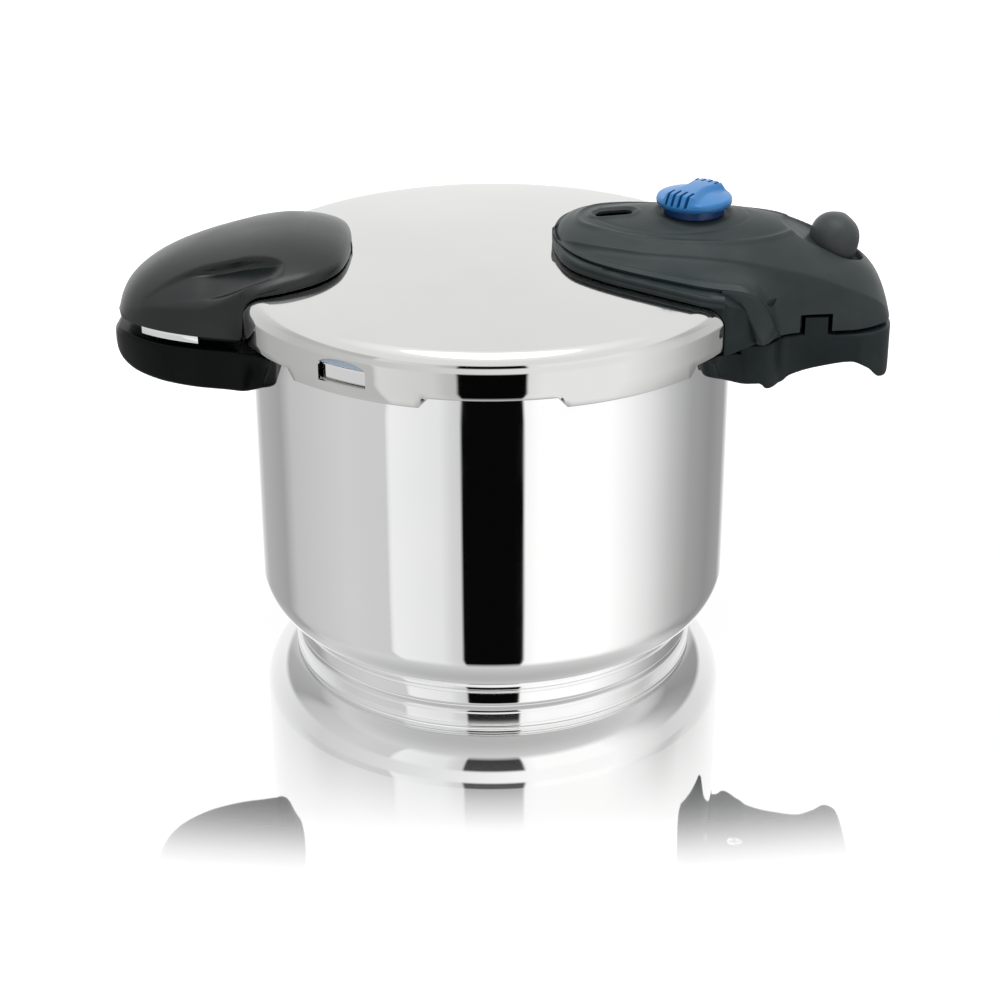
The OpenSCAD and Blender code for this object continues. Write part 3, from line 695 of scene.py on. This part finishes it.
def grip_surface(u, v):
    s = mix(TOP[0][0], TOP[-1][0], 0.45 * u + 0.55 * ease(0, 1, u))
    t = 2 * v - 1
    side = abs(t)
    top, ridge, edge = grip_section(s)
    crown = 0.56
    if side <= crown:
        k = side / crown
        x, y = s, ridge[1] * k
        z = top - (top - ridge[2]) * k**2.2
    else:
        k = (side - crown) / (1 - crown)
        wall = ease(112, 140, s)
        pull, drop = mix(0.12, 0.86, wall), mix(0.97, 0.42, wall)
        knee = (mix(ridge[0], edge[0], 0.5), mix(ridge[1], edge[1], pull), mix(ridge[2], edge[2], drop))
        x, y, z = (
            (1 - k) ** 2 * ridge[i] + 2 * k * (1 - k) * knee[i] + k * k * edge[i] for i in range(3))
        lip = 0.8 * bump((1 - k) * 26 - 3, 2.2) * (1 - ease(110, 120, s))
        z += lip * ease(30, 42, s)
    z += grip_relief(x, y)
    z = button_seat(x, y, z)
    seat = math.hypot(x - DIAL.x, y)
    z = mix(min(z, SEAT_Z), z, ease(15.2, 17, seat))
    return x, math.copysign(y, t), z


# The button's place on the cover, the lean of its seat and how deep the seat is
BUTTON_X, BUTTON_Z = 161.5, 192.6
SLOPE = math.radians(29)
SEAT_DEPTH = 3.8
ON_SLOPE = Matrix.Translation((BUTTON_X, 0, BUTTON_Z)) @ Matrix.Rotation(SLOPE, 4, "Y")


def button_seat(x, y, z):
    """Flattens the cover to the button's slope, along the whole of its travel."""
    plane = BUTTON_Z - SEAT_DEPTH / math.cos(SLOPE) - math.tan(SLOPE) * (x - BUTTON_X)
    near = capsule(x, y, 150, 157.6, 13.8)
    return mix(min(z, plane), z, ease(0, 2.6, near))


def sector_outline(r0, r1, start, end, steps=20):
    angles = [math.radians(start + (end - start) * i / steps) for i in range(steps + 1)]
    ring = [(r1 * math.cos(a), r1 * math.sin(a)) for a in angles]
    return ring + [(r0 * math.cos(a), r0 * math.sin(a)) for a in reversed(angles)]


def make_long_grip():
    cover = shell("long_grip_cover", 280, 150, grip_surface, 1.2)
    half, end = 4.6, 4
    window = []
    for side, start in ((1, -0.5), (-1, 0.5)):
        angles = [math.pi * (i / 12 + start) for i in range(13)]
        window += [(PIN.x + side * half + end * math.cos(a), end * math.sin(a)) for a in angles]
    slot = [(-11.8, -4.6), (4.4, -4.6), (4.4, 4.6), (-11.8, 4.6)]
    cut(cover, prism(window, 200, 230), prism(circle(DIAL.x, 0, 9.8), 190, 230),
        prism(slot, -12, 12, ON_SLOPE), prism(sector_outline(146, 160, -59, 11), 150, 171))
    place(cover, "lid", GRIP_BLACK, "grip_plastic", "lid_grip_cover")


def make_button():
    """The thumb button: an egg-shaped knob with a soft crest across it."""
    def surface(u, v):
        rise = math.radians(mix(-24, 90, u))
        around = 2 * math.pi * v
        out = abs(math.cos(rise)) ** 0.82 if u < 1 else 0
        x, y = 11.9 * out * math.cos(around), 13.4 * out * math.sin(around)
        z = -0.3 + 12.6 * math.copysign(abs(math.sin(rise)) ** 0.94, rise)
        crest = 0.5 * bump(x + 1, 3) * ease(3, 12, z)
        return ON_SLOPE @ Vector((x - 2.2 - 0.16 * z + 0.012 * z * z, y, z + crest))

    rows, columns = 34, 73
    points, faces = sheet_points(rows, columns, surface)
    obj = mesh_object("thumb_button", points, faces + [tuple(range(columns - 1))], 60)
    place(obj, "lock_button", BUTTON_BLACK, "button_plastic", "lock_button")


def make_dial():
    """The dial's cap: a low dome, with two flared wings across it that end in finger grooves."""
    radius = (box_mm("dial_cap")[1].x - box_mm("dial_cap")[0].x) / 2
    low = box_mm("dial_cap")[0].z
    turn = math.radians(54)

    def surface(u, v):
        around = 2 * math.pi * v
        if u > 0.9:
            edge = math.radians(mix(60, -60, (u - 0.9) / 0.1))
            out, z = radius - 2 + 2 * math.cos(edge), low + 2.2 + 2.4 * math.sin(edge)
        else:
            out, z = (radius - 1) * u / 0.9, low + 6.2 - 2 * (u / 0.9) ** 2
        across = abs(out * math.sin(around - turn))
        along = abs(out * math.cos(around - turn))
        half = 6 + 3.6 * (along / radius) ** 1.6
        wing = (1 - ease(half - 2, half + 1.6, across)) * (1 - ease(radius - 3.2, radius - 0.2, out))
        z += (2.2 + 1.3 * (along / radius) ** 2) * wing * ease(0, 3, z - low)
        return DIAL.x + out * math.cos(around), out * math.sin(around), z

    rows, columns = 70, 217
    points, faces = sheet_points(rows, columns, surface)
    start = (rows - 1) * columns
    obj = mesh_object("dial_knob", points, faces + [tuple(range(start, start + columns - 1))], 50)
    tools = []
    for side in (0, math.pi):
        where = Matrix.Translation((DIAL.x, 0, low)) @ Matrix.Rotation(turn + side, 4, "Z")
        for y in (-5.1, -1.7, 1.7, 5.1):
            slit = [(9, y - 0.6), (20, y - 0.8), (20, y + 0.8), (9, y + 0.6)]
            tools.append(prism(slit, 2.4, 16, where))
    cut(obj, *tools, sharp=40)
    place(obj, "dial", DIAL_BLUE, "dial_blue", "dial_cap")


# ---- Helper grip on the lid ----
# Along -X, in order: height over the middle, half width, fall from the middle to the widest point
CAP_TOP = [(65, 193.4), (67, 196), (71, 198.6), (77, 200.6), (85, 202), (95, 202.6), (106, 201.8),
           (118, 199.6), (130, 196.9), (142, 193.4), (152, 189.4), (161, 184), (168, 177.6), (172, 171.4),
           (173.4, 166.2)]
CAP_HALF = [(65, 3), (65.4, 12), (66.6, 22), (69, 31), (74, 39), (80, 44.4), (88, 48.4), (97, 51.2),
            (106, 52.4), (116, 51.6), (126, 49.4), (138, 45.4), (150, 40), (160, 33.4), (167, 26.6),
            (171, 20), (173.4, 10)]
CAP_FALL = [(65, 1), (67, 3), (71, 5.4), (77, 7.8), (85, 10), (95, 12), (106, 14), (118, 15.4), (130, 16),
            (142, 16.4), (152, 16), (161, 13.6), (168, 9), (172, 4.4), (173.4, 0.4)]
# The thumb scoop on the near side: where it starts and ends across the cap, and its depth
SCOOP_START = [(93, 0.72), (97, 0.66), (104, 0.6), (114, 0.57), (130, 0.58), (146, 0.66), (160, 0.8)]
SCOOP_END = [(93, 0.9), (97, 0.94), (104, 1.02), (114, 1.2), (124, 1.5), (134, 1.8), (146, 2)]
SCOOP_DEPTH = [(93, 0), (96, 1.4), (101, 3), (110, 3.9), (124, 3.6), (136, 1.8), (150, 0.5), (160, 0)]


def lid_top(radius):
    """Height of the lid's outer face at this radius, round the shoulder as well."""
    if radius < SHOULDER_R:
        return dome(radius, 0)
    over = min(radius - SHOULDER_R, SHOULDER_ARC)
    return SHOULDER_Z + math.sqrt(SHOULDER_ARC**2 - over**2)


def cap_surface(u, v):
    d = mix(CAP_TOP[0][0], CAP_TOP[-1][0], 0.5 * u + 0.5 * ease(0, 1, u))
    t = 2 * v - 1
    side = abs(t)
    top, half, fall = curve(CAP_TOP, d), curve(CAP_HALF, d), curve(CAP_FALL, d)
    radius = math.hypot(d, half)
    low = mix(lid_top(radius) + 0.8, 165.4, ease(LID_R - 0.2, LID_R + 1.2, radius))
    crown, knee = 0.62, 0.9
    if side <= crown:
        k = side / crown
        y, z = half * knee * k, top - fall * (knee * k) ** 2.4
    else:
        k = (side - crown) / (1 - crown)
        start = (half * knee, top - fall * knee**2.4)
        steep = 2.4 * fall * knee**1.4 / half
        bend = (half + 0.3, max(start[1] - steep * (half * (1 - knee) + 0.3), mix(start[1], low, 0.6)))
        y, z = (
            (1 - k) ** 2 * start[i] + 2 * k * (1 - k) * bend[i] + k * k * (half, low)[i] for i in range(2))
    if t < 0:
        across = y / half if side <= crown else knee + k * 1.1
        start, end = curve(SCOOP_START, d), curve(SCOOP_END, d)
        into = ease(start, start + 0.06, across) * (1 - ease(start + 0.06, end + 0.01, across))
        z -= 1.2 * curve(SCOOP_DEPTH, d) * into
        y -= 0.8 * curve(SCOOP_DEPTH, d) * into
    return -d, math.copysign(y, t), z


def make_helper_cap():
    cap = shell("helper_cap", 150, 160, cap_surface, 1.8, 70)
    place(cap, "lid", HELPER_BLACK, "helper_plastic", "lid_helper_cap")


def make_helper_trim():
    """A polished steel strip that shows in the joint between the two helper grips, on both sides."""
    for name, side in (("helper_trim_near", -1), ("helper_trim_far", 1)):
        path = [(-d, side * (curve(CAP_HALF, d) - 3), 0) for d in range(133, 161)]
        section = [(-1.2, 161), (0.3, 161), (0.5, 161.4), (0.5, 164.6), (0.3, 165), (-1.2, 165)]
        place(ribbon(name, path, section, side), "lid", STEEL, "bracket_steel")


def ribbon(name, path, section, side):
    """A closed strip along a path in plan. section gives (distance outwards, height above the path)."""
    points, n = [], len(path)
    for i, (x, y, z) in enumerate(path):
        before, after = path[max(i - 1, 0)], path[min(i + 1, n - 1)]
        along = Vector((after[0] - before[0], after[1] - before[1], 0)).normalized()
        out = Vector((along.y, -along.x, 0)) * side
        points += [Vector((x, y, z + h)) + out * o for o, h in section]
    return mesh_object(name, points, tube_faces(n, len(section)), 50)


# Half width of the long grip's flange on the lid, along X
FLANGE = [(29.8, 2.4), (30.2, 9), (31.2, 16), (33.4, 26), (38, 35.4), (46, 43), (57, 50.4), (66, 55),
          (75, 59.2), (86, 64), (96, 67.4), (102.5, 67.8)]


def make_flange_lip():
    """The rounded edge of the long grip's lower shell, lying on the lid."""
    steps = 120
    near = []
    for i in range(steps + 1):
        x = mix(FLANGE[-1][0], FLANGE[0][0], ease(0, 1, i / steps) * 0.3 + 0.7 * i / steps)
        near.append((x, -curve(FLANGE, x)))
    outline = near + [(x, -y) for x, y in reversed(near)]
    path = [(x, y, dome(x, y)) for x, y in outline]
    section = [(-3, 0.35), (0.5, 0.35), (1.1, 0.8), (1.3, 1.8), (0.9, 2.5), (0.7, 2.9), (1.0, 3.4),
               (0.9, 4.3), (0.4, 5), (-0.4, 5.3), (-3, 5.3)]
    place(ribbon("long_grip_lip", path, section, -1), "lid", GRIP_BLACK, "grip_plastic")


# Width of that flange's edge where it comes down, along X
BAND = [(103, 5), (112, 6), (118, 9), (126, 12), (133, 13.4)]


def make_bands():
    """The flange's edge where it follows the cover down to the seam, on both sides."""
    stations = [mix(102, SEAM_FROM + 0.2, i / 70) for i in range(71)]
    for name, side in (("long_grip_band_near", -1), ("long_grip_band_far", 1)):
        points = []
        for s in stations:
            ahead, here = Vector(grip_section(s + 0.4)[2]), Vector(grip_section(s)[2])
            along = ahead - Vector(grip_section(s - 0.4)[2])
            out = Vector((-along.y, along.x, 0)).normalized()
            down = along.cross(out).normalized()
            if down.z > 0:
                down = -down
            wide = curve(BAND, s)
            section = [(-2.6, 0.2), (0, 0.2), (0.5, 0.8), (0.6, 1.6), (0.6, wide - 1), (0.2, wide - 0.2),
                       (-0.6, wide), (-2.6, wide)]
            for o, h in section:
                p = here + out * o + down * h
                points.append((p.x, side * p.y, max(p.z, SEAM_Z + 0.1)))
        faces = tube_faces(len(stations), len(section))
        place(mesh_object(name, points, faces, 50), "lid", GRIP_BLACK, "grip_plastic")


# ---- Grips on the pot ----
# How much narrower the lower grips are at the bottom, next to the pot
TAPER = 0.74


def loaf(name, half, low, high, radius, stations=110, corner=6):
    """A moulded block: half width, underside and top along X, with rounded long edges."""
    start, end = half[0][0], half[-1][0]
    points = []
    for i in range(stations + 1):
        u = i / stations
        x = mix(start, end, 1 - (1 - u) ** 1.8)
        h, z0, z1 = curve(half, x), curve(low, x), curve(high, x)
        r = min(radius, h * 0.9, (z1 - z0) * 0.45)
        ring = []
        corners = [(h - r, z1 - r, 0), (-h + r, z1 - r, 90), (-h + r, z0 + r, 180), (h - r, z0 + r, 270)]
        for y, z, a in corners:
            ring += arc(y, z, r, a, a + 90, corner)
        near_wall = 1 - ease(98, 116, x)
        points += [(x, y * mix(1, mix(TAPER, 1, ease(138, 158, z)), near_wall), z) for y, z in ring]
    return mesh_object(name, points, tube_faces(stations + 1, 4 * (corner + 1)))


def box_cutter(low, high):
    outline = [(low[0], low[1]), (high[0], low[1]), (high[0], high[1]), (low[0], high[1])]
    return prism(outline, low[2], high[2])


# The lower grips along X: half width and underside, and the helper's top
GRIP_HALF = [(88, 64), (96, 61.5), (103, 54), (111, 50.8), (121, 50.4), (126, 49.6), (129, 46.4), (132, 41.6),
             (136, 39), (144, 38.2), (168, 38), (174, 36.6), (179, 33.4), (183, 28), (185.2, 20), (186, 10)]
GRIP_LOW = [(88, 141.5), (122, 141.5), (125, 138.9), (133, 138.6), (137, 141), (152, 145.2), (165, 147),
            (173, 143.6), (179, 138), (183, 137), (185.6, 140), (186, 144)]
GRIP_TOP = [(88, 161), (182, 161), (185, 160.2), (186, 158.6)]
EAR_HALF = [(88, 57), (95, 55.4), (102, 52.4), (110, 48), (122, 43.4), (136, 40.6), (150, 35.6), (161, 28.6),
            (170, 19.6), (175, 11), (176.8, 4)]
EAR_LOW = [(88, 139.6), (104, 137.6), (122, 137.2), (146, 138), (164, 139.6), (172, 142), (176.8, 146)]
EAR_TOP = [(88, 157.4), (168, 157.4), (174, 156.4), (176.8, 153.6)]


def bracket_cutters(tongue_x):
    """Room for the pot, the skirt, the bracket with its tongue, and the screw with its head."""
    screw = tongue_x - 8
    return [prism(circle(0, 0, POT_R + 0.1, 288), 100, 180),
            prism(circle(0, 0, LID_R + 0.6, 288), 156.4, 200),
            prism(sector_outline(POT_R - 1, POT_R + 1.8, -11.5, 11.5), 143.7, 155.3),
            box_cutter((POT_R, -8.3, 147.7), (tongue_x + 0.3, 8.3, 151.3)),
            prism(circle(screw, 0, 2.3), 130, 156),
            prism(circle(screw, 0, 4.3), 130, 142.3)]


def make_pot_grips():
    grip = loaf("pot_long_grip", GRIP_HALF, GRIP_LOW, GRIP_TOP, 1.6)
    block = prism(sector_outline(148, 158, -22.6, 7), 159, 169.3)
    low, high = ([(140, z), (170, z)] for z in (150, 180))
    sides = loaf("sides", [(140, 38.2), (170, 38)], low, high, 0.5, 4)
    boolean(block, sides, "INTERSECT")
    boolean(grip, block, "UNION")
    cut(grip, *bracket_cutters(135), box_cutter((152, -4.6, 164.4), (164, 4.6, 168.6)), sharp=35)
    # The pot grip takes the darker copy of the grip plastic: painted shade.
    place(grip, "pot", PAINTED_SHADE_GRIP, "grip_plastic", "pot_grip")
    ear = loaf("pot_helper_grip", EAR_HALF, EAR_LOW, EAR_TOP, 2.4)
    cut(ear, *bracket_cutters(133), sharp=35)
    ear.data.transform(Matrix.Rotation(math.pi, 4, "Z"))
    # The ear takes the darker, duller copy of the helper plastic: painted shade.
    place(ear, "pot", PAINTED_SHADE_HELPER, "helper_plastic", "helper_grip")


# ---- CAD nodes that keep their shape ----
def finish_node(node, material, width=0.0):
    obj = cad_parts[node]
    obj.data.materials.clear()
    obj.data.materials.append(material)
    if width:
        soften(obj, width)
    else:
        obj.data.shade_smooth()
        obj.data.set_sharp_from_angle(angle=math.radians(30))


def finish_nodes():
    kept = {
        # The lid grip's base takes the darker copy of the grip plastic: painted shade.
        "lid_grip_base": (PAINTED_SHADE_GRIP, 1.1),
        # The lid helper's base takes the darker, duller copy of the helper plastic: painted shade.
        "lid_helper_base": (PAINTED_SHADE_HELPER, 0.8),
        "dial_collar": (DARK_BLUE, 0.6),
    }
    for node, (material, width) in kept.items():
        finish_node(node, material, width)
    plain = {
        "bracket_steel": ["pot_bracket_right", "pot_bracket_left", "lid_grip_bracket", "lid_helper_bracket"],
        "base_aluminium": ["base_core"],
        "seal_rubber": ["gasket", "valve_seal", "safety_seal"],
        "screw_steel": ["pot_grip_screw", "helper_grip_screw", "lid_grip_screws", "lid_helper_screws",
                        "lid_nose_stud", "lid_nose_nut", "valve_nut", "indicator_nut", "safety_nut"],
        "valve_brass": ["valve_body", "valve_spring_seat", "safety_body", "safety_cap"],
        "piston_steel": ["valve_piston", "safety_poppet", "indicator_bush"],
        "spring_steel": ["valve_spring", "safety_spring", "indicator_clip", "lock_detent"],
        "cam_plastic": ["dial_cam", "lock_guide"],
        "indicator_red": ["indicator_pin"],
        "lock_steel": ["lock_carrier", "lock_pin", "lock_bolt"],
    }
    for name, nodes in plain.items():
        for node in nodes:
            finish_node(node, PLAIN[name])


camera()
studio_world()
overhead_light()
floor()
bpy.context.scene.view_settings.view_transform = "Standard"
make_pot()
make_lid()
make_long_grip()
make_flange_lip()
make_bands()
make_button()
make_dial()
make_helper_cap()
make_helper_trim()
make_pot_grips()
finish_nodes()
